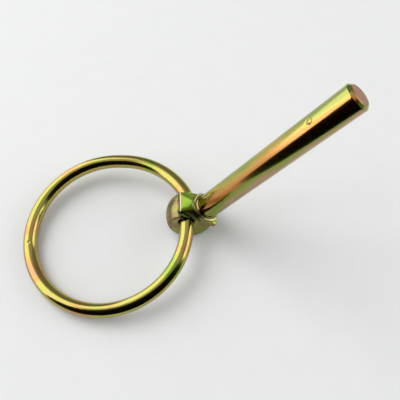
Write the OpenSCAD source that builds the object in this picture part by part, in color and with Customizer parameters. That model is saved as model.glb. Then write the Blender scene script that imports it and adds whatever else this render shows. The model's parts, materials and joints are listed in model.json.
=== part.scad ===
// Lynch pin: a forged steel pin with a spring-wire ring through its eye.
// The stiff ring holds the shank up while the part lies on its ring and on the heel of its head.

/* [Shank] */
// Diameter of the shank
shank_d = 9.1; // [6:0.1:10]
// Length of the shank, from the collar's face to the tip
shank_len = 73.5; // [50:0.5:90]
// Chamfer round the tip
tip_chamfer = 1; // [0.3:0.1:2]
// Radius of the fillet where the shank meets the collar
root_r = 0.8; // [0.3:0.1:0.9]

/* [Head] */
// Overhang of the collar beyond the shank
collar_lip = 1.4; // [1:0.1:2]
// Height of the collar proud of the front face
collar_t = 0.8; // [0.3:0.1:1.5]
// Radius of the neck between the front face and the ball
neck_r = 6.5; // [6:0.1:8]
// Distance of the underside flat below the shank's axis
under_h = 4.7; // [4.6:0.1:6]
// Radius of the forged ball
ball_r = 8.7; // [8:0.1:11]
// Distance of the ball's centre behind the collar's face
ball_back = 6.8; // [5:0.1:9]
// Offset of the ball's centre from the shank's axis, towards the eye
ball_off = 3.4; // [2:0.1:5]
// Width of the head across its two flats
flats_w = 11.2; // [9:0.1:14]
// Height of the front block's crest above the shank's axis
crest_h = 11.1; // [10:0.1:13]
// Thickness of the front block
crest_t = 2; // [1:0.1:3]
// Width of the front block at its crest
crest_w = 8; // [6:0.1:9]
// Height above the shank's axis at which the front block starts to narrow
waist_h = 3.5; // [2:0.1:6]
// Width of the front face at its crest
face_w = 7.2; // [4:0.1:8]
// Angle at which the front face narrows towards the collar
face_draft = 23; // [0:1:30]
// Angle at which the front face's corners fall back
corner_fall = 10; // [5:1:14]
// Depth of the flat struck on the heel of the head
heel_cut = 1.3; // [0.5:0.1:2]
// Distance of the cross hole's axis behind the collar's face
eye_back = 5; // [5:0.1:7]
// Offset of the cross hole's axis from the shank's axis
eye_off = 6.2; // [5:0.1:7]

/* [Ring] */
// Diameter of the ring's wire
wire_d = 5.2; // [3:0.1:5.4]
// Radius of the ring's centre line
ring_r = 30; // [25:0.5:45]
// Running clearance between the wire and the cross hole, on the radius
eye_clear = 0.45; // [0.3:0.05:0.6]
// Angle at which the round stretch leaves the head
low_angle = -2; // [-8:1:2]
// Angle at which the closing arm leaves the ring
arm_angle = 78; // [65:1:90]
// Bend with which the closing arm leaves the ring, outwards
arm_bend = 4; // [2:0.5:8]
// Distance outside the head's far flat at which the closing arm meets the straight through the eye
bend_out = 0.4; // [0.3:0.1:2]
// Gap between the two wire ends inside the head
end_gap = 1; // [0.4:0.1:3]

/* [Pose] */
// Angle of the shank above the plane of the ring
pin_rise = 50.5; // [45:0.5:60]
// Roll of the pin about its own axis
pin_roll = 5; // [-5:1:10]

/* [Hidden] */
$fn = 64;

shank_r = shank_d / 2;
wire_r = wire_d / 2;
collar_r = shank_r + collar_lip;
far = 4 * ring_r;       // longer than anything that a cutter passes through
widest_heel = 60;       // no heel is struck further than this from the back of the head
halvings = 40;

function unit(v) = v / norm(v);
// turns for rotate() that take the X, Y and Z axes to three given unit vectors
function turns(ex, ey, ez) = [atan2(ey[2], ez[2]), -asin(ex[2]), atan2(ex[1], ex[0])];
function polar(angle) = [cos(angle), sin(angle), 0];

// The ring lies in the XY plane of its own frame, centred on the origin.
// The pin's axes there: along the shank, towards its topside, and through the eye.
shank_dir = [cos(pin_rise), 0, sin(pin_rise)];
top_dir = [-sin(pin_rise) * cos(pin_roll), sin(pin_roll), cos(pin_rise) * cos(pin_roll)];
eye_dir = cross(top_dir, shank_dir);

// The wire is bent flat. Straight through the eye it turns this much from the ring's Y axis.
eye_turn = -atan2(eye_dir[0], eye_dir[1]);
wire_dir = polar(90 + eye_turn);
low_end = ring_r * polar(low_angle);
eye_mid = low_end + wire_dir * flats_w / 2;
far_end = low_end + wire_dir * (flats_w + bend_out);
// the closing arm is one arc, from its bend off the ring to the far end of that straight
arm_start = ring_r * polar(arm_angle);
arm_out = polar(arm_angle + arm_bend);
arm_span = far_end - arm_start;
arm_r = -(arm_span * arm_span) / (2 * arm_span * arm_out);
arm_mid = arm_start - arm_r * arm_out;
arm_end_angle = atan2(far_end[1] - arm_mid[1], far_end[0] - arm_mid[0]);
bend_swell = 0.03;      // by how much a bend is thicker than the wire

// The part rests on the far side of its ring and on the heel flat, which is square to the ground.
// The heel's angle is found by halving, so that both lie at the same level.
ball_mid = eye_mid + (eye_back - ball_back) * shank_dir + (ball_off - eye_off) * top_dir;
function up_at(heel) = cos(heel) * shank_dir + sin(heel) * top_dir;
function ring_low(up) = -wire_r - ring_r * norm([up[0], up[1]]);
function heel_low(up) = up * ball_mid - ball_r + heel_cut;
function heel_between(lo, hi, n) = let (mid = (lo + hi) / 2, up = up_at(mid))
    n == 0 ? mid
    : heel_low(up) > ring_low(up) ? heel_between(mid, hi, n - 1)
    : heel_between(lo, mid, n - 1);
heel_angle = heel_between(0, widest_heel, halvings);

// axes of the ground's frame, seen from the ring's: forward under the shank, left and up
up = up_at(heel_angle);
fore = unit(shank_dir - (shank_dir * up) * up);
left = cross(up, fore);
// the origin lies on the ground, half-way between the ring's far side and the shank's tip
tip = eye_mid + (shank_len + eye_back) * shank_dir - eye_off * top_dir;
front_x = fore * tip + max((shank_r - tip_chamfer) * (shank_dir * up),
    shank_r * (shank_dir * up) - tip_chamfer * (fore * shank_dir));
back_x = -wire_r - ring_r * norm([fore[0], fore[1]]);
origin_x = (front_x + back_x) / 2;

module on_ground() {
    translate([-origin_x, 0, -ring_low(up)])
        rotate(turns([fore[0], left[0], up[0]], [fore[1], left[1], up[1]], [fore[2], left[2], up[2]]))
            children();
}

// what lies between the two flats, above a level of the pin's own X
module between_flats(level) {
    translate([level, -flats_w / 2, -far]) cube([far, flats_w, 2 * far]);
}

// the block behind the collar: a straight crest over a waist, and a flat underside
module front_block() {
    side = flats_w / 2;
    translate([0, 0, -collar_t - crest_t]) linear_extrude(crest_t) polygon([
        [-under_h, -side], [waist_h, -side], [crest_h, -crest_w / 2],
        [crest_h, crest_w / 2], [waist_h, side], [-under_h, side]
    ]);
}

// what is taken off in front: all beyond the front face, and two falling corners above the waist
module front_cut() {
    translate([-far / 2, -far / 2, -collar_t]) cube(far);
    intersection() {
        for (k = [0, 1]) mirror([0, k, 0]) translate([crest_h, face_w / 2, -collar_t])
            rotate([0, 0, face_draft]) rotate([-corner_fall, 0, 0])
                translate([-far / 2, 0, 0]) cube(far);
        translate([waist_h, -far, -far]) cube(2 * far);
    }
}

module collar_and_neck() {
    intersection() {
        union() {
            translate([0, 0, -collar_t]) cylinder(r = collar_r, h = collar_t);
            translate([0, 0, -ball_back]) cylinder(r = neck_r, h = ball_back - collar_t - crest_t);
        }
        between_flats(-under_h);
    }
}

module heel_cutter() {
    translate([ball_off, 0, -ball_back]) rotate([0, heel_angle, 0])
        translate([-far / 2, -far / 2, heel_cut - ball_r - far]) cube(far);
}

module head() {
    difference() {
        intersection() {
            union() {
                difference() {
                    union() {
                        translate([ball_off, 0, -ball_back]) sphere(r = ball_r);
                        front_block();
                    }
                    front_cut();
                }
                collar_and_neck();
            }
            between_flats(-far / 2);
        }
        heel_cutter();
    }
}

module shank() {
    cylinder(r = shank_r, h = shank_len - tip_chamfer);
    translate([0, 0, shank_len - tip_chamfer])
        cylinder(r1 = shank_r, r2 = shank_r - tip_chamfer, h = tip_chamfer);
    rotate_extrude() difference() {
        square([shank_r + root_r, root_r]);
        translate([shank_r + root_r, root_r]) circle(r = root_r);
    }
}

// The pin in its own frame: Z runs along the shank from the collar's face, X to the topside.
module pin() {
    color("darkkhaki") difference() {
        union() {
            shank();
            head();
        }
        translate([eye_off, 0, -eye_back]) rotate([90, 0, 0])
            cylinder(r = wire_r + eye_clear, h = far, center = true);
    }
}

// a stretch of wire round a centre, a straight one through the eye, and a bend between two
module wire_arc(centre, r, from, to) {
    translate(centre) rotate([0, 0, from]) rotate_extrude(angle = to - from)
        translate([r, 0]) circle(r = wire_r);
}

module wire_straight(from, to) {
    translate(low_end + from * wire_dir) rotate([-90, 0, eye_turn])
        cylinder(r = wire_r, h = to - from);
}

module wire_bend(at, turn) {
    translate(at) rotate([-90, 0, turn]) sphere(r = wire_r + bend_swell);
}

module ring() {
    color("gold") {
        wire_straight(0, (flats_w - end_gap) / 2);
        wire_bend(low_end, eye_turn);
        wire_arc([0, 0, 0], ring_r, arm_angle, 360 + low_angle);
        wire_bend(arm_start, arm_angle);
        wire_arc(arm_mid, arm_r, arm_end_angle, arm_angle + arm_bend);
        wire_bend(far_end, (eye_turn + arm_end_angle) / 2);
        wire_straight((flats_w + end_gap) / 2, flats_w + bend_out);
    }
}

module posed_pin() {
    translate(eye_mid) rotate([0, 90 - pin_rise, 0]) rotate([0, 0, 180 - pin_roll])
        translate([-eye_off, 0, eye_back]) pin();
}

on_ground() posed_pin();  // pin
on_ground() ring();
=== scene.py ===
"""A lynch pin in glossy yellow zinc: a forged pin and the spring-wire ring that turns in its head.

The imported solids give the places: the hinge gives the eye, and the shank's mount the pin's axis.
Lengths inside the two piece classes are in millimetres, and everything in the scene is in metres.
"""

from __future__ import annotations

import json
import logging
import math
from dataclasses import dataclass, replace
from enum import Enum

import bpy
import numpy as np
from mathutils import Matrix, Vector

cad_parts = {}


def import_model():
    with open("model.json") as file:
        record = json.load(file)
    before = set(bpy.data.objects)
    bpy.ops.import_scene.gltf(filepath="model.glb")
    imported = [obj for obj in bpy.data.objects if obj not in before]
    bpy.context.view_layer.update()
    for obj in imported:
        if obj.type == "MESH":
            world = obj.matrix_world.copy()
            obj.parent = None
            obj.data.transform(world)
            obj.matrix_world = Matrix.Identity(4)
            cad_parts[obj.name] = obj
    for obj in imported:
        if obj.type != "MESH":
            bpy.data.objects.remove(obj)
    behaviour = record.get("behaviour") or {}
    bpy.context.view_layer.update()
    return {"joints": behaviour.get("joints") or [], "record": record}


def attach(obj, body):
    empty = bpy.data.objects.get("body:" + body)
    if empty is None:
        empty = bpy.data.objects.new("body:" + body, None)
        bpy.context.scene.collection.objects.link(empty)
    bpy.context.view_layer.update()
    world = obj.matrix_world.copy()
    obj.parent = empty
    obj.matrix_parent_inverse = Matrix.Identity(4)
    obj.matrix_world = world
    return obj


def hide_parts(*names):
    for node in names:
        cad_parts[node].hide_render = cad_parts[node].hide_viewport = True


LOG = logging.getLogger("lynch_pin")
MM = 0.001

Colour = tuple[float, float, float]
Axis = tuple[float, float, float]
Stop = tuple[float, Colour]
Tree = bpy.types.NodeTree
Socket = bpy.types.NodeSocket


class Body(Enum):
    """The two bodies that the hinge joins."""

    PIN = "pin"
    RING = "ring"


class Slot(Enum):
    """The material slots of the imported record."""

    FORGING = "plated_forging"
    WIRE = "plated_wire"


# ---------------------------------------------------------------------------------------------
# Rounded solids
# ---------------------------------------------------------------------------------------------


def joined(a: np.ndarray, b: np.ndarray, radius: float) -> np.ndarray:
    """Union of two distance fields with a fillet in the corner.

    Args:
        a: Distances to the first solid, negative inside.
        b: Distances to the second solid.
        radius: Radius of the fillet.

    Returns:
        The distances to both solids together.
    """
    u, v = np.maximum(radius - a, 0.0), np.maximum(radius - b, 0.0)
    return np.maximum(radius, np.minimum(a, b)) - np.hypot(u, v)


def common(a: np.ndarray, b: np.ndarray, radius: float) -> np.ndarray:
    """Intersection of two distance fields with a rounded edge.

    Args:
        a: Distances to the first solid, negative inside.
        b: Distances to the second solid.
        radius: Radius of the rounded edge.

    Returns:
        The distances to what the solids have in common.
    """
    return -joined(-a, -b, radius)


def cut_out(a: np.ndarray, b: np.ndarray, radius: float) -> np.ndarray:
    """Solid a without solid b, with the edge between them rounded by a radius."""
    return -joined(-a, b, radius)


@dataclass(frozen=True)
class SurfaceNet:
    """Turns a distance field into a closed mesh of four-sided faces on a box-shaped grid."""

    xs: np.ndarray
    ys: np.ndarray
    zs: np.ndarray

    def _edges(self, values: np.ndarray, axis: int) -> tuple[np.ndarray, np.ndarray]:
        """Finds the grid edges along an axis that the surface crosses.

        Args:
            values: The field at each grid point.
            axis: The axis that the edges follow.

        Returns:
            The start of each edge as grid numbers, and how far along it the surface crosses.
        """
        low = [slice(None)] * 3
        high = [slice(None)] * 3
        low[axis], high[axis] = slice(None, -1), slice(1, None)
        a, b = values[tuple(low)], values[tuple(high)]
        found = np.argwhere((a < 0) != (b < 0))
        va, vb = a[tuple(found.T)], b[tuple(found.T)]
        return found, va / (va - vb)

    def mesh(self, values: np.ndarray) -> tuple[np.ndarray, np.ndarray]:
        """Finds the vertices and faces of the surface where the field is zero.

        Args:
            values: The field at each grid point.

        Returns:
            Vertex places, and four vertex numbers for each face, turned outwards.
        """
        grids = (self.xs, self.ys, self.zs)
        shape = np.array(values.shape) - 1
        total = np.zeros((int(np.prod(shape)), 3))
        count = np.zeros(int(np.prod(shape)))
        quads = []
        for axis in range(3):
            found, share = self._edges(values, axis)
            place = np.stack([grids[k][found[:, k]] for k in range(3)], axis=1)
            step = np.diff(grids[axis])[found[:, axis]]
            place[:, axis] += share * step
            side, up = (axis + 1) % 3, (axis + 2) % 3
            corners = []
            for back_side, back_up in ((0, 0), (1, 0), (1, 1), (0, 1)):
                cell = found.copy()
                cell[:, side] -= back_side
                cell[:, up] -= back_up
                number = (cell[:, 0] * shape[1] + cell[:, 1]) * shape[2] + cell[:, 2]
                np.add.at(total, number, place)
                np.add.at(count, number, 1.0)
                corners.append(number)
            ring = np.stack(corners, axis=1)
            inside = values[tuple(found.T)] < 0
            ring[~inside] = ring[~inside][:, ::-1]
            quads.append(ring)
        used = np.flatnonzero(count)
        number = np.full(count.shape, -1)
        number[used] = np.arange(used.size)
        return total[used] / count[used, None], number[np.concatenate(quads)]


def spaced(stops: list[tuple[float, float]]) -> np.ndarray:
    """Grid lines whose spacing changes from stretch to stretch.

    Args:
        stops: The end of each stretch with its spacing; the first entry is the start.

    Returns:
        The places of the lines, in order.
    """
    lines = [np.array([stops[0][0]])]
    for (start, _), (end, step) in zip(stops, stops[1:]):
        lines.append(np.linspace(start, end, max(2, round((end - start) / step) + 1))[1:])
    return np.concatenate(lines)


# ---------------------------------------------------------------------------------------------
# Places
# ---------------------------------------------------------------------------------------------


@dataclass(frozen=True)
class Layout:
    """Where the pin and the ring stand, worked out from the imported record."""

    eye: np.ndarray
    eye_axis: np.ndarray
    shank_axis: np.ndarray

    @classmethod
    def from_record(cls, record: dict, joints: list[dict]) -> "Layout":
        """Reads the hinge and the shank's mount.

        Args:
            record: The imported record.
            joints: The joints of the frame.

        Returns:
            The layout of the two pieces.
        """
        hinge = next(j for j in joints if j["child"] == Body.RING.value)
        mount = next(m for m in record["mounts"] if m["kind"] == "pin")
        unit = [np.array(v, float) / np.linalg.norm(v) for v in (hinge["axis"], mount["axis"])]
        return cls(np.array(hinge["pos_m"], float), unit[0], unit[1])

    @property
    def topside(self) -> np.ndarray:
        """Direction of the pin's topside, square to its shank and to its eye."""
        return np.cross(self.shank_axis, self.eye_axis)


# ---------------------------------------------------------------------------------------------
# Nodes
# ---------------------------------------------------------------------------------------------


def feed(tree: Tree, socket: Socket, value: Socket | float | tuple[float, ...]) -> None:
    """Links a socket to another one, or sets its value."""
    if isinstance(value, bpy.types.NodeSocket):
        tree.links.new(value, socket)
    else:
        socket.default_value = value


def worked(tree: Tree, operation: str, *values: Socket | float, clamp: bool = False) -> Socket:
    """Adds a math node.

    Args:
        tree: The tree that gets the node.
        operation: What the node does.
        values: What goes into the node, in order.
        clamp: Whether the result is kept from 0 to 1.

    Returns:
        The node's result.
    """
    node = tree.nodes.new("ShaderNodeMath")
    node.operation = operation
    node.use_clamp = clamp
    for socket, value in zip(node.inputs, values):
        feed(tree, socket, value)
    return node.outputs[0]


def mapped(tree: Tree, value: Socket, start: Socket | float, end: Socket | float,
           low: float = 0.0, high: Socket | float = 1.0, kind: str = "LINEAR") -> Socket:
    """Adds a node that takes a value from one range to another, and holds it at both ends.

    Args:
        tree: The tree that gets the node.
        value: What is mapped.
        start: The result at low.
        end: The result at high.
        low: Where the value's range begins.
        high: Where the value's range ends.
        kind: How the result moves between start and end.

    Returns:
        The node's result.
    """
    node = tree.nodes.new("ShaderNodeMapRange")
    node.interpolation_type = kind
    given = {"Value": value, "From Min": low, "From Max": high, "To Min": start, "To Max": end}
    for name, number in given.items():
        feed(tree, node.inputs[name], number)
    return node.outputs["Result"]


def noise(tree: Tree, place: Socket, per_m: float, detail: float = 2.0) -> Socket:
    """Adds a noise texture.

    Args:
        tree: The tree that gets the node.
        place: Where the noise is read.
        per_m: How many bumps the noise has in a metre.
        detail: How fine the noise goes.

    Returns:
        The noise, from 0 to 1.
    """
    node = tree.nodes.new("ShaderNodeTexNoise")
    node.inputs["Scale"].default_value = per_m
    node.inputs["Detail"].default_value = detail
    tree.links.new(place, node.inputs["Vector"])
    return node.outputs["Fac"]


def reading(tree: Tree, output: str) -> Socket:
    """The surface's own Object coordinates or Normal."""
    return tree.nodes.new("ShaderNodeTexCoord").outputs[output]


def along_axis(tree: Tree, output: str, axis: Axis) -> Socket:
    """How far a point lies, or how much its surface faces, along an axis.

    Args:
        tree: The tree that gets the node.
        output: Object for the point's place, or Normal for the way that its surface faces.
        axis: The axis.

    Returns:
        The share along the axis.
    """
    dot = tree.nodes.new("ShaderNodeVectorMath")
    dot.operation = "DOT_PRODUCT"
    dot.inputs[1].default_value = axis
    tree.links.new(reading(tree, output), dot.inputs[0])
    return dot.outputs["Value"]


def ramped(tree: Tree, value: Socket, stops: tuple[Stop, ...], kind: str = "LINEAR") -> Socket:
    """Adds a colour ramp.

    Args:
        tree: The tree that gets the node.
        value: What moves along the ramp.
        stops: The ramp's places and colours, in order.
        kind: How the ramp moves between two stops.

    Returns:
        The colour.
    """
    node = tree.nodes.new("ShaderNodeValToRGB")
    node.color_ramp.interpolation = kind
    elements = node.color_ramp.elements
    for spare, (spot, colour) in zip(list(elements), (stops[0], stops[-1])):
        spare.position, spare.color = spot, (*colour, 1.0)
    for spot, colour in stops[1:-1]:
        elements.new(spot).color = (*colour, 1.0)
    tree.links.new(value, node.inputs["Fac"])
    return node.outputs["Color"]


# ---------------------------------------------------------------------------------------------
# Finishes
# ---------------------------------------------------------------------------------------------


# Rows of hues along which facing and drift move the colour: partly the film's own gold, green and mauve, and
# partly painted reflection, since the facing share rises as a surface turns to its lit side and so lays the
# lamps' bright and dark bands into the colour; on the shank the orange stops at 0.50 to 0.74 stand in for
# its highlight band.
SHANK_HUES_AND_PAINTED_BANDS: tuple[Stop, ...] = (
    (0.02, (0.42, 0.25, 0.17)),
    (0.11, (0.33, 0.27, 0.08)),
    (0.20, (0.24, 0.32, 0.04)),
    (0.36, (0.26, 0.25, 0.035)),
    (0.50, (0.52, 0.21, 0.045)),
    (0.74, (0.57, 0.28, 0.07)),
    (0.86, (0.48, 0.37, 0.08)),
    (0.97, (0.30, 0.34, 0.07)),
)
HEAD_HUES_AND_PAINTED_BANDS: tuple[Stop, ...] = (
    (0.04, (0.21, 0.10, 0.08)),
    (0.16, (0.13, 0.11, 0.04)),
    (0.30, (0.18, 0.14, 0.06)),
    (0.42, (0.26, 0.18, 0.09)),
    (0.52, (0.25, 0.29, 0.05)),
    (0.70, (0.29, 0.30, 0.06)),
    (0.90, (0.23, 0.38, 0.03)),
)
WIRE_HUES_AND_PAINTED_BANDS: tuple[Stop, ...] = (
    (0.14, (0.42, 0.23, 0.15)),
    (0.35, (0.46, 0.27, 0.07)),
    (0.51, (0.43, 0.34, 0.08)),
    (0.72, (0.39, 0.37, 0.07)),
    (0.90, (0.26, 0.35, 0.04)),
)


@dataclass(frozen=True)
class ZincPlate:
    """Yellow-passivated zinc: a thin clear film whose hue drifts from gold to green and mauve.

    The hue follows the way that a surface faces, away from lit_side or towards it, over as much
    of the row of hues as facing says: this is painted reflection, which lays the lamps' bright and
    dark bands in the metal into the colour over the film's own hue. A slow drift moves it along the row.
    """

    name: str
    hues: tuple[Stop, ...]
    lit_side: Axis
    drift: float = 0.28
    drift_per_m: float = 110.0
    drift_axis: Axis = (0.0, 0.0, 1.0)
    drift_stretch: float = 0.25
    drift_detail: float = 3.0
    drift_range: tuple[float, float] = (0.25, 0.75)
    facing: float = 1.0
    edge_tint: Colour = (0.90, 0.90, 0.70)
    gloss_range: tuple[float, float] = (0.10, 0.21)
    film: float = 0.5
    film_roughness: float = 0.10
    grain_per_m: float = 2600.0
    grain_detail: float = 4.0
    grain_height: float = 0.000004

    def _hue(self, tree: Tree) -> Socket:
        """Works out the film's own colour with the painted reflection bands laid over it.

        Args:
            tree: The material's tree.

        Returns:
            The colour, from the way that the surface faces, which paints the reflection bands, and the slow
            drift.
        """
        half = 0.5 * self.facing
        # painted reflection: the share rises as the surface turns towards lit_side
        painted_band_share = mapped(tree, along_axis(tree, "Normal", self.lit_side), 0.5 - half, 0.5 + half, low=-1.0)
        turned = tree.nodes.new("ShaderNodeMapping")
        axis = Vector(self.drift_axis).to_track_quat("Z", "Y").inverted().to_euler()
        turned.inputs["Rotation"].default_value = axis
        tree.links.new(reading(tree, "Object"), turned.inputs["Vector"])
        stretched = tree.nodes.new("ShaderNodeMapping")
        stretched.inputs["Scale"].default_value = (1.0, 1.0, self.drift_stretch)
        tree.links.new(turned.outputs["Vector"], stretched.inputs["Vector"])
        slow = noise(tree, stretched.outputs["Vector"], self.drift_per_m, self.drift_detail)
        drift = mapped(tree, slow, -self.drift, self.drift, *self.drift_range)
        return ramped(tree, worked(tree, "ADD", painted_band_share, drift), self.hues, "EASE")

    def _start(self) -> tuple[bpy.types.Material, bpy.types.Node]:
        """Makes a metal material with the grain's gloss and bump.

        Returns:
            The material, and its shader.
        """
        material = bpy.data.materials.new(self.name)
        material.use_nodes = True
        tree = material.node_tree
        shader = tree.nodes["Principled BSDF"]
        shader.inputs["Metallic"].default_value = 1.0
        shader.inputs["Specular Tint"].default_value = (*self.edge_tint, 1.0)
        shader.inputs["Coat Weight"].default_value = self.film
        shader.inputs["Coat Roughness"].default_value = self.film_roughness
        grain = noise(tree, reading(tree, "Object"), self.grain_per_m, self.grain_detail)
        tree.links.new(mapped(tree, grain, *self.gloss_range), shader.inputs["Roughness"])
        bump = tree.nodes.new("ShaderNodeBump")
        bump.inputs["Distance"].default_value = self.grain_height
        tree.links.new(grain, bump.inputs["Height"])
        tree.links.new(bump.outputs["Normal"], shader.inputs["Normal"])
        return material, shader

    def build(self) -> bpy.types.Material:
        """Makes the material's nodes.

        Returns:
            The finished material.
        """
        material, shader = self._start()
        tree = material.node_tree
        tree.links.new(self._hue(tree), shader.inputs["Base Color"])
        return material


@dataclass(frozen=True)
class ForgingPlate(ZincPlate):
    """The plate on the pin, whose shank, collar, forged head and cropped end differ in hue, with a
    painted highlight along the crest and a painted dark reflection on one cheek of the block.

    Places are in metres along axis, or along crest_axis where the pin's topside matters. Two
    hues meet within a few times seam.
    """

    head_hues: tuple[Stop, ...] = HEAD_HUES_AND_PAINTED_BANDS
    head_side: Axis = (0.0, 0.0, 1.0)
    head_drift: float = 0.26
    head_drift_per_m: float = 190.0
    axis: Axis = (0.0, 0.0, 1.0)
    head_end: float = 0.0
    blend: float = 0.0008
    seam: float = 0.0001
    crest_axis: Axis = (0.0, 0.0, 1.0)
    crest_from: float = 0.0
    crest_back: float = 0.0
    # pale: a painted highlight along the crest's front edge
    crest_highlight_colour: Colour = (0.72, 0.64, 0.38)
    collar_t: float = 0.0008
    collar_colour: Colour = (0.30, 0.26, 0.09)
    cheek_axis: Axis = (0.0, 1.0, 0.0)
    cheek_from: float = 0.0
    cheek_t: float = 0.002
    cheek_facing: tuple[float, float] = (0.12, 0.2)
    # near black: a painted dark reflection on one cheek of the block
    cheek_dark_reflection_colour: Colour = (0.05, 0.055, 0.015)
    end_axis: Axis = (0.0, 0.0, 1.0)
    end_from: float = 0.066
    end_facing: tuple[float, float] = (0.93, 0.98)
    end_colour: Colour = (0.36, 0.14, 0.12)
    forged_roughness: float = 0.13
    forged_film: float = 0.2

    def _past(self, tree: Tree, low: float, high: float, axis: Axis | None = None) -> Socket:
        """Rises from 0 to 1 between two places along the pin, or along the axis given."""
        return mapped(tree, along_axis(tree, "Object", axis or self.axis), 0.0, 1.0, low, high)

    def _facing(self, tree: Tree, axis: Axis, low: float, high: float) -> Socket:
        """Rises from 0 to 1 as the surface turns to face along an axis."""
        return mapped(tree, along_axis(tree, "Normal", axis), 0.0, 1.0, low, high)

    def _collar_share(self, tree: Tree) -> Socket:
        """Is 1 on the collar."""
        back = self.head_end - self.collar_t
        over = self._past(tree, back + self.seam, back + 2 * self.seam)
        before = self._past(tree, self.head_end + self.blend, self.head_end + 0.5 * self.blend)
        return worked(tree, "MULTIPLY", over, before)

    def _crest_highlight_share(self, tree: Tree) -> Socket:
        """Is 1 on the front edge of the crest, which gets a painted highlight."""
        top = self._past(tree, self.crest_from - 4 * self.seam, self.crest_from - self.seam, self.crest_axis)
        front = self._past(tree, self.crest_back - 2 * self.seam, self.crest_back)
        return worked(tree, "MULTIPLY", top, front)

    def _cheek_dark_reflection_share(self, tree: Tree) -> Socket:
        """Works out which part of the block gets the painted dark reflection on its one cheek.

        Args:
            tree: The material's tree.

        Returns:
            A share that is 1 on the cheek between the block's face and the eye.
        """
        face = self.head_end - self.collar_t
        back = face - self.cheek_t
        raised = self._past(tree, self.cheek_from, self.cheek_from + self.blend, self.crest_axis)
        behind = self._past(tree, face + 2 * self.seam, face + self.seam)
        thick = self._past(tree, back - 6 * self.seam, back)
        block = worked(tree, "MULTIPLY", raised, worked(tree, "MULTIPLY", behind, thick))
        return worked(tree, "MULTIPLY", self._facing(tree, self.cheek_axis, *self.cheek_facing), block)

    def _end_share(self, tree: Tree) -> Socket:
        """Is 1 on the cropped end face, which alone faces along its own axis, and 0 elsewhere."""
        near_tip = self._past(tree, self.end_from, self.end_from + self.blend)
        return worked(tree, "MULTIPLY", self._facing(tree, self.end_axis, *self.end_facing), near_tip)

    def _mixed(self, tree: Tree, share: Socket, low: Socket, high: Socket | Colour) -> Socket:
        """Lays one colour over another.

        Args:
            tree: The material's tree.
            share: How much of the upper colour shows.
            low: The lower colour.
            high: The upper colour.

        Returns:
            The colour of both together.
        """
        mix = tree.nodes.new("ShaderNodeMix")
        mix.data_type = "RGBA"
        tree.links.new(share, mix.inputs["Factor"])
        tree.links.new(low, mix.inputs["A"])
        feed(tree, mix.inputs["B"], (*high, 1.0) if isinstance(high, tuple) else high)
        return mix.outputs["Result"]

    def build(self) -> bpy.types.Material:
        """Makes the material's nodes.

        Returns:
            The finished material.
        """
        material, shader = self._start()
        tree = material.node_tree
        head = replace(self, hues=self.head_hues, lit_side=self.head_side, drift=self.head_drift,
                       drift_stretch=1.0, drift_per_m=self.head_drift_per_m)
        past_head = self._past(tree, self.head_end, self.head_end + self.blend)
        colour = self._mixed(tree, past_head, head._hue(tree), self._hue(tree))
        # the collar's hue, a painted dark reflection on one cheek, the end's own hue and a painted highlight
        # along the crest
        for share, over in (
            (self._collar_share(tree), self.collar_colour),
            (self._cheek_dark_reflection_share(tree), self.cheek_dark_reflection_colour),
            (self._end_share(tree), self.end_colour),
            (self._crest_highlight_share(tree), self.crest_highlight_colour),
        ):
            colour = self._mixed(tree, share, colour, over)
        tree.links.new(colour, shader.inputs["Base Color"])
        self._dull_head(tree, shader)
        return material

    def _dull_head(self, tree: Tree, shader: bpy.types.Node) -> None:
        """Makes the forged head duller than the drawn shank, and thins the film on it.

        Args:
            tree: The material's tree.
            shader: The material's shader, whose roughness already has the grain in it.
        """
        past_head = self._past(tree, self.head_end - self.blend, self.head_end)
        rough = shader.inputs["Roughness"]
        dull = mapped(tree, past_head, self.forged_roughness, 0.0)
        tree.links.new(worked(tree, "ADD", dull, rough.links[0].from_socket), rough)
        film = mapped(tree, past_head, self.forged_film, self.film)
        bare = worked(tree, "SUBTRACT", film, self._end_share(tree), clamp=True)
        tree.links.new(bare, shader.inputs["Coat Weight"])


@dataclass(frozen=True)
class Paper:
    """Matt off-white paper with a faint mottle, which the part lies on."""

    name: str = "paper"
    colour: Colour = (0.81, 0.82, 0.815)
    shade: float = 0.985
    mottle_per_m: float = 90.0
    mottle_range: tuple[float, float] = (0.3, 0.7)
    roughness: float = 0.9
    specular: float = 0.1

    def build(self) -> bpy.types.Material:
        """Makes the material's nodes.

        Returns:
            The finished material.
        """
        material = bpy.data.materials.new(self.name)
        material.use_nodes = True
        tree = material.node_tree
        shader = tree.nodes["Principled BSDF"]
        shader.inputs["Roughness"].default_value = self.roughness
        shader.inputs["Specular IOR Level"].default_value = self.specular
        dark = tuple(self.shade * c for c in self.colour)
        stops = tuple(zip(self.mottle_range, (dark, self.colour)))
        mottle = noise(tree, reading(tree, "Object"), self.mottle_per_m)
        tree.links.new(ramped(tree, mottle, stops), shader.inputs["Base Color"])
        return material


# ---------------------------------------------------------------------------------------------
# The pin
# ---------------------------------------------------------------------------------------------


@dataclass(frozen=True)
class Scar:
    """A nick in the shank: a groove round a small crown, deeper on one side.

    It lies at a distance from the collar, turned by some degrees from the topside. The sizes
    after its depth are shares of its radius and depth.
    """

    at: float
    turn: float
    radius: float
    depth: float
    groove_w: float = 0.32
    crown_r: float = 0.45
    crown_h: float = 0.2
    squeeze: float = 0.8
    lean: float = 0.4
    skew: float = 0.6
    reach: float = 2.2

    def cut(self, shank_r: float, x: np.ndarray, y: np.ndarray, z: np.ndarray) -> np.ndarray:
        """How deep the nick is below the shank's surface.

        Args:
            shank_r: The shank's radius.
            x: How far the points lie to the topside.
            y: How far the points lie along the eye.
            z: How far the points lie along the shank.

        Returns:
            The depths at the points.
        """
        across = shank_r * (np.arctan2(y, x) - math.radians(self.turn))
        along = z - self.at
        off = np.hypot(across, self.squeeze * along)
        groove = np.exp(-((off / self.radius - 1.0) / self.groove_w) ** 2)
        side = 1.0 - self.lean + self.lean * (across - self.skew * along) / (off + 0.1)
        crown = np.exp(-(off / (self.crown_r * self.radius)) ** 2)
        return self.depth * (groove * side - self.crown_h * crown)


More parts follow.
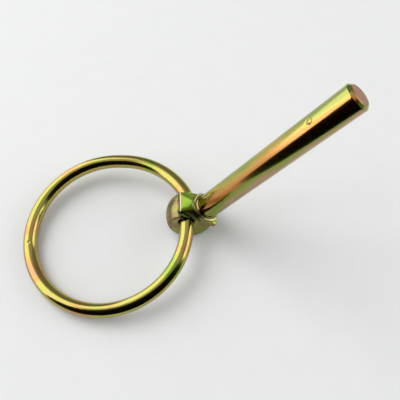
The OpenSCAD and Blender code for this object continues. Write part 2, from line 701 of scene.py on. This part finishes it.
@dataclass
class ForgedPin:
    """The pin: shank, collar and forged head in one piece, with the forging's soft edges.

    Its own frame has Z along the shank from the collar's face, X to the topside and Y through
    the eye, as in the part's source. All lengths are in millimetres and all angles in degrees.
    """

    layout: Layout
    shank_r: float = 4.55
    shank_len: float = 73.5
    tip_chamfer: float = 1.0
    root_r: float = 0.8
    collar_r: float = 5.95
    collar_t: float = 0.8
    neck_r: float = 6.5
    under_h: float = 4.7
    ball_r: float = 8.7
    ball_back: float = 6.8
    ball_off: float = 3.4
    flats_w: float = 11.2
    crest_h: float = 11.1
    crest_t: float = 2.0
    crest_w: float = 8.0
    waist_h: float = 3.5
    face_w: float = 7.2
    face_draft: float = 16.0
    corner_fall: float = 16.0
    heel_cut: float = 1.3
    eye_back: float = 5.0
    eye_off: float = 6.2
    eye_r: float = 3.05
    edge_r: float = 0.3
    ball_edge_r: float = 1.0
    ball_edge_back: float = 3.0
    ball_edge_over: float = 4.0
    under_edge_r: float = 0.6
    eye_edge_r: float = 0.25
    collar_edge_r: float = 0.25
    end_edge_r: float = 0.05
    chamfer_edge_r: float = 0.12
    neck_fillet_r: float = 0.7
    block_fillet_r: float = 0.35
    ball_sunk: float = 1.0
    ball_long: float = 9.6
    ball_shift: tuple[float, float, float] = (0.35, 1.1, -0.25)
    flare: float = 0.13
    end_tilt: float = 9.0
    end_turn: float = 42.4
    end_over: float = 2.0
    scars: tuple[Scar, ...] = (
        Scar(at=42.6, turn=3.3, radius=0.35, depth=0.05),
        Scar(at=58.5, turn=7.5, radius=0.8, depth=0.2),
    )
    shank_lit: Axis = (0.0, 0.45, -0.9)
    head_lit: tuple[float, float] = (0.9, -0.3)
    # share of the crest's thickness that gets the painted highlight
    crest_highlight_part: float = 0.3
    end_part: float = 4.0
    fine: float = 0.17
    fine_to: float = 1.4
    root_step: float = 0.6
    root_to: float = 4.0
    coarse: float = 1.6
    tip_part: float = 3.2
    margin: float = 0.6
    settle: int = 4

    @property
    def axes(self) -> np.ndarray:
        """The pin's own axes as rows, in the frame's directions."""
        top, along = self.layout.topside, self.layout.shank_axis
        return np.array([top, np.cross(along, top), along])

    @property
    def shoulder(self) -> np.ndarray:
        """Where the pin's axis meets the collar's face, in metres."""
        top, along = self.layout.topside, self.layout.shank_axis
        return self.layout.eye + MM * (self.eye_back * along - self.eye_off * top)

    @property
    def down(self) -> np.ndarray:
        """The ground's direction, in the pin's own frame."""
        return self.axes @ np.array([0.0, 0.0, -1.0])

    def _plane(self, p: np.ndarray, normal: tuple[float, ...], through: tuple[float, ...]) -> np.ndarray:
        """Distances above a plane: a unit normal and a point on it."""
        n = np.array(normal) / np.linalg.norm(normal)
        return (p - np.array(through)) @ n

    def _front_block(self, p: np.ndarray) -> np.ndarray:
        """The block behind the collar, with its crest, waist and falling corners.

        Args:
            p: Points in the pin's own frame.

        Returns:
            The distances to the block, before the flats and the underside are cut.
        """
        side = np.abs(p[..., 1])
        mirrored = np.stack([p[..., 0], side, p[..., 2]], axis=-1)
        half, crest_half = self.flats_w / 2, self.crest_w / 2
        rise = self.crest_h - self.waist_h
        parts = [
            p[..., 0] - self.crest_h,
            self._plane(mirrored, (half - crest_half, rise, 0.0), (self.waist_h, half, 0.0)),
            -p[..., 2] - self.collar_t - self.crest_t,
            p[..., 2] + self.collar_t,
        ]
        draft, fall = math.radians(self.face_draft), math.radians(self.corner_fall)
        corner = (-math.sin(draft) * math.sin(fall), math.cos(draft) * math.sin(fall), math.cos(fall))
        start = (self.crest_h, self.face_w / 2, -self.collar_t)
        facet = self._plane(mirrored, corner, start)
        facet = np.where(p[..., 0] > self.waist_h - 1.0, facet, np.minimum(facet, p[..., 2] + self.collar_t))
        parts.append(facet)
        whole = parts[0]
        for part in parts[1:]:
            whole = common(whole, part, self.edge_r)
        return whole

    def distance(self, p: np.ndarray) -> np.ndarray:
        """How far each point is from the pin's surface.

        Args:
            p: Points in the pin's own frame, in millimetres.

        Returns:
            The distances, negative inside the metal.
        """
        x, y, z = p[..., 0], p[..., 1], p[..., 2]
        out = np.hypot(x, y)
        ball_mid = np.array([self.ball_off, 0.0, -self.ball_back])
        block_back = z + self.collar_t + self.crest_t
        below = (p - np.array([self.eye_off, 0.0, -self.eye_back])) @ self.down
        flat_side = np.abs(y) - self.flats_w / 2 - self.flare * (below + np.hypot(below, 1.0)) / 2
        off = p - ball_mid - np.array(self.ball_shift)
        off[..., 1] *= self.ball_r / self.ball_long
        ball = np.linalg.norm(off, axis=-1) - self.ball_r
        ball = np.maximum(ball, z + self.collar_t + self.ball_sunk)
        neck = np.maximum(out - self.neck_r, np.maximum(block_back, -z - self.ball_back))
        collar = np.maximum(common(out - self.collar_r, z, self.collar_edge_r), -block_back)
        head = joined(ball, self._front_block(p), self.block_fillet_r)
        head = joined(head, neck, self.neck_fillet_r)
        head = joined(head, collar, self.edge_r)
        ball_share = np.clip((-z - self.ball_edge_back) / self.ball_edge_over, 0.0, 1.0)
        head = common(head, flat_side, self.edge_r + (self.ball_edge_r - self.edge_r) * ball_share)
        head = common(head, -x - self.under_h, self.under_edge_r)
        heel = (p - ball_mid) @ self.down - (self.ball_r - self.heel_cut)
        head = common(head, heel, self.edge_r)
        eye = np.hypot(x - self.eye_off, z + self.eye_back) - self.eye_r
        head = cut_out(head, eye, self.eye_edge_r)
        tilt, turn = math.radians(self.end_tilt), math.radians(self.end_turn)
        lower = -self.end_over - x * math.cos(turn) - y * math.sin(turn)
        end = (z - self.shank_len) * math.cos(tilt) + lower * math.sin(tilt)
        chamfer = (out - self.shank_r + end + self.tip_chamfer) * math.sqrt(0.5)
        nicks = sum(scar.cut(self.shank_r, x, y, z) for scar in self.scars)
        shank = common(out - self.shank_r + nicks, end, self.end_edge_r)
        shank = common(shank, chamfer, self.chamfer_edge_r)
        shank = np.maximum(shank, -z - self.collar_t)
        return joined(head, shank, self.root_r)

    def _slope(self, p: np.ndarray, step: float = 0.004) -> np.ndarray:
        """The field's gradient by central differences.

        Args:
            p: Points in the pin's own frame.
            step: How far to each side the field is read.

        Returns:
            The gradient at each point.
        """
        slope = np.empty_like(p)
        for axis in range(3):
            shift = np.zeros(3)
            shift[axis] = step
            slope[:, axis] = (self.distance(p + shift) - self.distance(p - shift)) / (2 * step)
        return slope

    def finish(self) -> ForgingPlate:
        """Lays out the pin's plate on the pin's own axes.

        Returns:
            The plate.
        """
        along, top = self.layout.shank_axis, self.layout.topside
        start = float(self.shoulder @ along)
        base = float(self.shoulder @ top)
        # the hues turn with the side towards shank_lit and head_lit, which paints the lamps' reflection
        # bands into the colour
        side = np.cross(along, np.array(self.shank_lit))
        side *= np.sign(side[2]) / np.linalg.norm(side)
        tilt, turn = math.radians(self.end_tilt), math.radians(self.end_turn)
        end = np.array([-math.cos(turn) * math.sin(tilt), -math.sin(turn) * math.sin(tilt), math.cos(tilt)])
        return ForgingPlate(
            name="zinc_on_forging",
            hues=SHANK_HUES_AND_PAINTED_BANDS,
            lit_side=tuple(side),
            drift_axis=tuple(along),
            head_side=tuple(self.head_lit[0] * along + self.head_lit[1] * top),
            axis=tuple(along),
            head_end=start,
            crest_axis=tuple(top),
            crest_from=base + MM * self.crest_h,
            crest_back=start - MM * (self.collar_t + self.crest_highlight_part * self.crest_t),
            collar_t=MM * self.collar_t,
            cheek_axis=tuple(self.axes[1]),
            cheek_from=base + MM * self.waist_h,
            cheek_t=MM * self.crest_t,
            end_axis=tuple(end @ self.axes),
            end_from=start + MM * (self.shank_len - self.end_part),
        )

    def build_mesh(self) -> bpy.types.Mesh:
        """Meshes the pin and puts it in its place, with the true surface's normals.

        Returns:
            The mesh, in metres.
        """
        wide = max(self.ball_off + self.ball_r, self.crest_h) + self.margin
        low = max(self.ball_r - self.ball_off, self.collar_r) + self.margin
        across = max(self.flats_w / 2 + self.flare * self.ball_long, self.collar_r) + self.margin
        reach = (self.end_over + self.shank_r) * math.sin(math.radians(self.end_tilt))
        back, tip = -self.ball_back - self.ball_r - self.margin, self.shank_len - self.tip_part
        stops = [(back, 0.0), (self.fine_to, self.fine), (self.root_to, self.root_step)]
        for scar in self.scars:
            beside = scar.reach * scar.radius
            stops += [(scar.at - beside, self.coarse), (scar.at + beside, self.fine)]
        stops += [(tip, self.coarse), (self.shank_len + reach + self.margin, self.fine)]
        net = SurfaceNet(
            spaced([(-low, 0.0), (wide, self.fine)]),
            spaced([(-across, 0.0), (across, self.fine)]),
            spaced(stops),
        )
        grid = np.stack(np.meshgrid(net.xs, net.ys, net.zs, indexing="ij"), axis=-1)
        places, faces = net.mesh(self.distance(grid))
        for _ in range(self.settle):
            slope = self._slope(places)
            steep = np.maximum((slope * slope).sum(axis=1), 0.25)
            move = (self.distance(places) / steep)[:, None] * slope
            places -= np.clip(move, -self.fine, self.fine)
        normals = self._slope(places)
        normals /= np.linalg.norm(normals, axis=1)[:, None]
        world = self.shoulder + MM * places @ self.axes
        mesh = bpy.data.meshes.new("pin_forging")
        mesh.from_pydata(world.tolist(), [], faces.tolist())
        mesh.validate()
        mesh.shade_smooth()
        mesh.normals_split_custom_set_from_vertices((normals @ self.axes).tolist())
        return mesh

    def build(self) -> bpy.types.Object:
        """Makes the pin's piece and dresses it.

        Returns:
            The finished piece.
        """
        piece = bpy.data.objects.new("pin_forging", self.build_mesh())
        bpy.context.scene.collection.objects.link(piece)
        piece.data.materials.append(self.finish().build())
        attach(piece, Body.PIN.value)
        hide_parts("pin")
        return piece


# ---------------------------------------------------------------------------------------------
# The ring
# ---------------------------------------------------------------------------------------------


@dataclass
class WireRing:
    """The spring wire, bent flat: a round ring, a closing arm and a straight stretch in the eye.

    Its own frame has the ring's centre at the origin and Z square to the wire's plane. All
    lengths are in millimetres and all angles in degrees.
    """

    layout: Layout
    wire_r: float = 2.6
    ring_r: float = 30.0
    low_angle: float = -2.0
    arm_angle: float = 78.0
    arm_bend: float = 4.0
    bend_out: float = 0.4
    end_gap: float = 1.0
    flats_w: float = 11.2
    pin_rise: float = 50.5
    pin_roll: float = 5.0
    step: float = 0.3
    arc_step: float = 0.5
    ease: float = 1.1
    sides: int = 64
    end_round: float = 0.5
    end_share: float = 0.8
    pit_angle: float = 182.0
    pit_turn: float = -8.9
    pit_r: float = 0.75
    pit_depth: float = 0.2

    @staticmethod
    def _polar(angle: float) -> np.ndarray:
        """A unit vector in the ring's plane."""
        return np.array([math.cos(math.radians(angle)), math.sin(math.radians(angle)), 0.0])

    def _pin_axes(self) -> np.ndarray:
        """The shank's, the topside's and the eye's directions as rows, in the ring's own frame."""
        rise, roll = math.radians(self.pin_rise), math.radians(self.pin_roll)
        shank = np.array([math.cos(rise), 0.0, math.sin(rise)])
        top = np.array([-math.sin(rise) * math.cos(roll), math.sin(roll), math.cos(rise) * math.cos(roll)])
        return np.array([shank, top, np.cross(top, shank)])

    def path(self) -> np.ndarray:
        """The wire's centre line from one end inside the head to the other.

        Returns:
            Points in metres, in the frame, about one step apart.
        """
        low, along = self._low_and_along()
        far = low + along * (self.flats_w + self.bend_out)
        start = self.ring_r * self._polar(self.arm_angle)
        out = self._polar(self.arm_angle + self.arm_bend)
        span = far - start
        arm_r = -(span @ span) / (2 * span @ out)
        arm_mid = start - arm_r * out
        end_angle = math.degrees(math.atan2(far[1] - arm_mid[1], far[0] - arm_mid[0]))
        half = (self.flats_w - self.end_gap) / 2
        first = [low + along * half, low]
        turns = np.arange(self.low_angle, self.arm_angle - 360.0, -self.arc_step)
        round_part = [self.ring_r * self._polar(a) for a in turns]
        turns = np.arange(self.arm_angle + self.arm_bend, end_angle, -self.arc_step)
        arm = [arm_mid + arm_r * self._polar(a) for a in turns]
        last = [far, low + along * (half + self.end_gap)]
        points = self._even(np.array(first + round_part[1:] + arm + last))
        points = self._eased(points)
        return self._placed(points)

    def _low_and_along(self) -> tuple[np.ndarray, np.ndarray]:
        """The near mouth of the eye and the eye's direction, in the ring's own frame."""
        inside = self._pin_axes()
        turn = -math.degrees(math.atan2(inside[2, 0], inside[2, 1]))
        return self.ring_r * self._polar(self.low_angle), self._polar(90.0 + turn)

    def _placed(self, points: np.ndarray) -> np.ndarray:
        """Points of the ring's own frame in the scene's frame, in metres."""
        low, along = self._low_and_along()
        eye_mid = low + along * self.flats_w / 2
        outside = np.array([self.layout.shank_axis, self.layout.topside, self.layout.eye_axis])
        return self.layout.eye + MM * (points - eye_mid) @ self._pin_axes().T @ outside

    def _pit_place(self) -> np.ndarray:
        """The middle of the pit on the wire's surface, in metres."""
        turn = math.radians(self.pit_turn)
        out = self._polar(self.pit_angle)
        up = np.array([0.0, 0.0, 1.0])
        spot = self.ring_r * out + self.wire_r * (math.cos(turn) * up + math.sin(turn) * out)
        return self._placed(spot)

    def _even(self, points: np.ndarray) -> np.ndarray:
        """The same line with its points one step apart."""
        run = np.concatenate([[0.0], np.cumsum(np.linalg.norm(np.diff(points, axis=0), axis=1))])
        stops = np.linspace(0.0, run[-1], round(run[-1] / self.step) + 1)
        return np.stack([np.interp(stops, run, points[:, k]) for k in range(3)], axis=1)

    def _eased(self, points: np.ndarray) -> np.ndarray:
        """Rounds the bends, by moving each point to the mean of its neighbours within the ease.

        Args:
            points: The line's points, one step apart.

        Returns:
            The moved points.
        """
        reach = round(self.ease / self.step)
        padded = np.concatenate([
            2 * points[0] - points[reach:0:-1], points, 2 * points[-1] - points[-2 : -reach - 2 : -1]
        ])
        kernel = np.hanning(2 * reach + 3)[1:-1]
        kernel /= kernel.sum()
        return np.stack([np.convolve(padded[:, k], kernel, "valid") for k in range(3)], axis=1)

    def _sweep_tree(self) -> Tree:
        """Builds the nodes that sweep the wire's round section along its line.

        Returns:
            The tree, whose inputs are the line, the wire's sizes, the pit's and the finish.
        """
        tree = bpy.data.node_groups.new("sweep_wire", "GeometryNodeTree")
        for name, kind in (
            ("Line", "Geometry"), ("Wire radius", "Float"), ("End rounding", "Float"), ("Sides", "Int"),
            ("Pit place", "Vector"), ("Pit radius", "Float"), ("Pit depth", "Float"), ("Finish", "Material"),
        ):
            tree.interface.new_socket(name, in_out="INPUT", socket_type="NodeSocket" + kind)
        tree.interface.new_socket("Wire", in_out="OUTPUT", socket_type="NodeSocketGeometry")
        nodes, links = tree.nodes, tree.links
        given = nodes.new("NodeGroupInput").outputs

        straight = nodes.new("GeometryNodeSetCurveNormal")
        straight.mode = "MINIMUM_TWIST"
        links.new(given["Line"], straight.inputs["Curve"])

        # near each end the section shrinks smoothly to end_share, as a cropped wire's edge does
        where = nodes.new("GeometryNodeSplineParameter").outputs["Length"]
        length = nodes.new("GeometryNodeSplineLength").outputs["Length"]
        nearest = worked(tree, "MINIMUM", where, worked(tree, "SUBTRACT", length, where))
        size = nodes.new("GeometryNodeSetCurveRadius")
        share = mapped(tree, nearest, self.end_share, 1.0, high=given["End rounding"], kind="SMOOTHSTEP")
        links.new(share, size.inputs["Radius"])
        links.new(straight.outputs["Curve"], size.inputs["Curve"])

        section = nodes.new("GeometryNodeCurvePrimitiveCircle")
        links.new(given["Wire radius"], section.inputs["Radius"])
        links.new(given["Sides"], section.inputs["Resolution"])
        sweep = nodes.new("GeometryNodeCurveToMesh")
        sweep.inputs["Fill Caps"].default_value = True
        links.new(size.outputs["Curve"], sweep.inputs["Curve"])
        links.new(section.outputs["Curve"], sweep.inputs["Profile Curve"])
        links.new(nodes.new("GeometryNodeInputRadius").outputs["Radius"], sweep.inputs["Scale"])

        # the pit pushes the wire's surface in along its normal, less and less up to its radius
        away = nodes.new("ShaderNodeVectorMath")
        away.operation = "DISTANCE"
        links.new(nodes.new("GeometryNodeInputPosition").outputs["Position"], away.inputs[0])
        links.new(given["Pit place"], away.inputs[1])
        depth = mapped(tree, away.outputs["Value"], given["Pit depth"], 0.0, high=given["Pit radius"],
                       kind="SMOOTHSTEP")
        push = nodes.new("ShaderNodeVectorMath")
        push.operation = "SCALE"
        links.new(nodes.new("GeometryNodeInputNormal").outputs["Normal"], push.inputs[0])
        links.new(worked(tree, "MULTIPLY", depth, -1.0), push.inputs["Scale"])
        pitted = nodes.new("GeometryNodeSetPosition")
        links.new(sweep.outputs["Mesh"], pitted.inputs["Geometry"])
        links.new(push.outputs["Vector"], pitted.inputs["Offset"])

        mesh = pitted.outputs["Geometry"]
        for kind in ("SetShadeSmooth", "RealizeInstances", "SetMaterial"):
            node = nodes.new("GeometryNode" + kind)
            links.new(mesh, node.inputs["Geometry"])
            mesh = node.outputs["Geometry"]
        links.new(given["Finish"], node.inputs["Material"])
        links.new(mesh, nodes.new("NodeGroupOutput").inputs["Wire"])
        return tree

    def build(self) -> bpy.types.Object:
        """Sweeps the wire along its line and dresses it.

        Returns:
            The finished piece.
        """
        line = bpy.data.curves.new("wire_line", "CURVE")
        line.dimensions = "3D"
        points = self.path()
        spline = line.splines.new("POLY")
        spline.points.add(len(points) - 1)
        spline.points.foreach_set("co", np.c_[points, np.ones(len(points))].ravel())
        maker = bpy.data.objects.new("wire_line", line)
        bpy.context.scene.collection.objects.link(maker)
        tree = self._sweep_tree()
        modifier = maker.modifiers.new("sweep", "NODES")
        modifier.node_group = tree
        finish = ZincPlate("zinc_on_wire", WIRE_HUES_AND_PAINTED_BANDS, (0.0, 0.0, 1.0), facing=0.3, drift=0.5,
                           drift_stretch=1.0, drift_detail=5.0, drift_per_m=85.0).build()
        sizes = {"Wire radius": self.wire_r * MM, "End rounding": self.end_round * MM,
                 "Sides": self.sides, "Pit place": tuple(self._pit_place()),
                 "Pit radius": self.pit_r * MM, "Pit depth": self.pit_depth * MM, "Finish": finish}
        for socket in tree.interface.items_tree:
            if socket.item_type == "SOCKET" and socket.in_out == "INPUT" and socket.name in sizes:
                modifier[socket.identifier] = sizes[socket.name]
        depsgraph = bpy.context.evaluated_depsgraph_get()
        mesh = bpy.data.meshes.new_from_object(maker.evaluated_get(depsgraph), depsgraph=depsgraph)
        mesh.name = "ring_wire"
        bpy.data.objects.remove(maker)
        piece = bpy.data.objects.new("ring_wire", mesh)
        bpy.context.scene.collection.objects.link(piece)
        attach(piece, Body.RING.value)
        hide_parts("ring")
        return piece


# ---------------------------------------------------------------------------------------------
# The studio
# ---------------------------------------------------------------------------------------------


@dataclass(frozen=True)
class Softbox:
    """A large soft lamp, placed by its bearing from the part and the height of its middle.

    It stands upright, or looks down by its tilt. Lengths are in metres and angles in degrees.
    """

    name: str
    bearing: float
    distance: float
    middle: float
    width: float
    tall: float
    radiance: float
    tilt: float = 0.0

    def build(self) -> bpy.types.Object:
        """Makes the lamp, facing the part.

        Returns:
            The lamp.
        """
        lamp = bpy.data.lights.new(self.name, "AREA")
        lamp.shape = "RECTANGLE"
        lamp.size, lamp.size_y = self.width, self.tall
        lamp.energy = self.radiance * math.pi * self.width * self.tall
        obj = bpy.data.objects.new(self.name, lamp)
        bearing, tilt = math.radians(self.bearing), math.radians(self.tilt)
        out = Vector((math.cos(bearing), math.sin(bearing), 0.0))
        obj.location = self.distance * out + Vector((0.0, 0.0, self.middle))
        away = math.cos(tilt) * out + Vector((0.0, 0.0, math.sin(tilt)))
        obj.rotation_euler = away.to_track_quat("Z", "Y").to_euler()
        bpy.context.scene.collection.objects.link(obj)
        return obj


@dataclass(frozen=True)
class Studio:
    """Paper floor, softboxes, broad skylight, a black card on the near side, and the camera."""

    floor_size: float = 6.0
    camera_at: tuple[float, float, float] = (0.006608, -0.079101, 0.174734)
    camera_looks: tuple[float, float, float] = (0.023782, 0.477075, -0.878541)
    camera_roll: float = 1.04
    lens: float = 44.1
    world_grey: float = 0.28
    sky_bearing: float = 138.0
    sky_height: float = 50.0
    sky_spread: float = 38.0
    sky_strength: float = 0.8
    card_y: float = -0.064
    card_tall: float = 0.5
    card_wide: float = 0.30
    card_colour: Colour = (0.004, 0.003, 0.003)
    lamps: tuple[Softbox, ...] = (
        Softbox("softbox_left", 161.0, 0.62, 0.59, 1.15, 1.17, 1.95),
        Softbox("softbox_right", 11.0, 0.90, 0.50, 0.81, 0.80, 2.0),
        Softbox("overhead", 90.0, 0.05, 0.85, 0.9, 0.9, 0.35, 90.0),
    )

    def _plane(self, name: str, corners: list[tuple[float, float, float]]) -> bpy.types.Object:
        """Makes a flat stage object.

        Args:
            name: The object's name.
            corners: Its four corners.

        Returns:
            The object, marked as stage.
        """
        mesh = bpy.data.meshes.new(name)
        mesh.from_pydata(corners, [], [(0, 1, 2, 3)])
        obj = bpy.data.objects.new(name, mesh)
        bpy.context.scene.collection.objects.link(obj)
        return obj

    def build_floor(self) -> None:
        """Lays the paper."""
        s = self.floor_size / 2
        floor = self._plane("floor", [(-s, -s, 0.0), (s, -s, 0.0), (s, s, 0.0), (-s, s, 0.0)])
        floor.data.materials.append(Paper().build())

    def build_card(self) -> None:
        """Stands a black card on the near side, which only shows as dark bands in the metal."""
        w = self.card_wide / 2
        y, t = self.card_y, self.card_tall
        card = self._plane("black_card", [(-w, y, 0.0), (w, y, 0.0), (w, y, t), (-w, y, t)])
        material = bpy.data.materials.new("black_card")
        material.use_nodes = True
        shader = material.node_tree.nodes["Principled BSDF"]
        shader.inputs["Base Color"].default_value = (*self.card_colour, 1.0)
        shader.inputs["Specular IOR Level"].default_value = 0.0
        card.data.materials.append(material)
        card.visible_camera = False
        card.visible_diffuse = False
        card.visible_shadow = False

    def build_skylight(self) -> None:
        """Hangs the broad soft light over the whole floor, which the metal doesn't mirror."""
        lamp = bpy.data.lights.new("skylight", "SUN")
        lamp.angle = math.radians(self.sky_spread)
        lamp.energy = self.sky_strength
        obj = bpy.data.objects.new("skylight", lamp)
        bearing, height = math.radians(self.sky_bearing), math.radians(self.sky_height)
        out = Vector((math.cos(bearing) * math.cos(height), math.sin(bearing) * math.cos(height),
                      math.sin(height)))
        obj.rotation_euler = out.to_track_quat("Z", "Y").to_euler()
        obj.visible_glossy = False
        bpy.context.scene.collection.objects.link(obj)

    def build_world(self) -> None:
        """Sets the room's even grey."""
        world = bpy.data.worlds.new("room")
        world.use_nodes = True
        background = world.node_tree.nodes["Background"]
        background.inputs["Color"].default_value = (self.world_grey, self.world_grey, self.world_grey, 1.0)
        bpy.context.scene.world = world

    def build_camera(self) -> None:
        """Places the camera."""
        data = bpy.data.cameras.new("camera")
        data.lens = self.lens
        data.sensor_width = 36.0
        data.clip_start = 0.005
        camera = bpy.data.objects.new("camera", data)
        camera.location = self.camera_at
        aim = Vector(self.camera_looks).to_track_quat("-Z", "Y").to_matrix()
        roll = Matrix.Rotation(math.radians(self.camera_roll), 3, "Z")
        camera.rotation_euler = (aim @ roll).to_euler()
        bpy.context.scene.collection.objects.link(camera)
        bpy.context.scene.camera = camera

    def build(self) -> None:
        """Sets up the floor, the card, the lamps, the skylight, the room and the camera."""
        self.build_floor()
        self.build_card()
        for lamp in self.lamps:
            lamp.build()
        self.build_skylight()
        self.build_world()
        self.build_camera()
        bpy.context.scene.view_settings.view_transform = "Standard"


def main() -> None:
    """Builds the two pieces and the studio round them."""
    logging.basicConfig(level=logging.INFO, format="%(name)s: %(message)s")
    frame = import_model()
    layout = Layout.from_record(frame["record"], frame["joints"])
    for maker in (ForgedPin(layout), WireRing(layout)):
        piece = maker.build()
        LOG.info("%s: %d faces", piece.name, len(piece.data.polygons))
    Studio().build()
    bpy.context.view_layer.update()


if __name__ == "__main__":
    main()
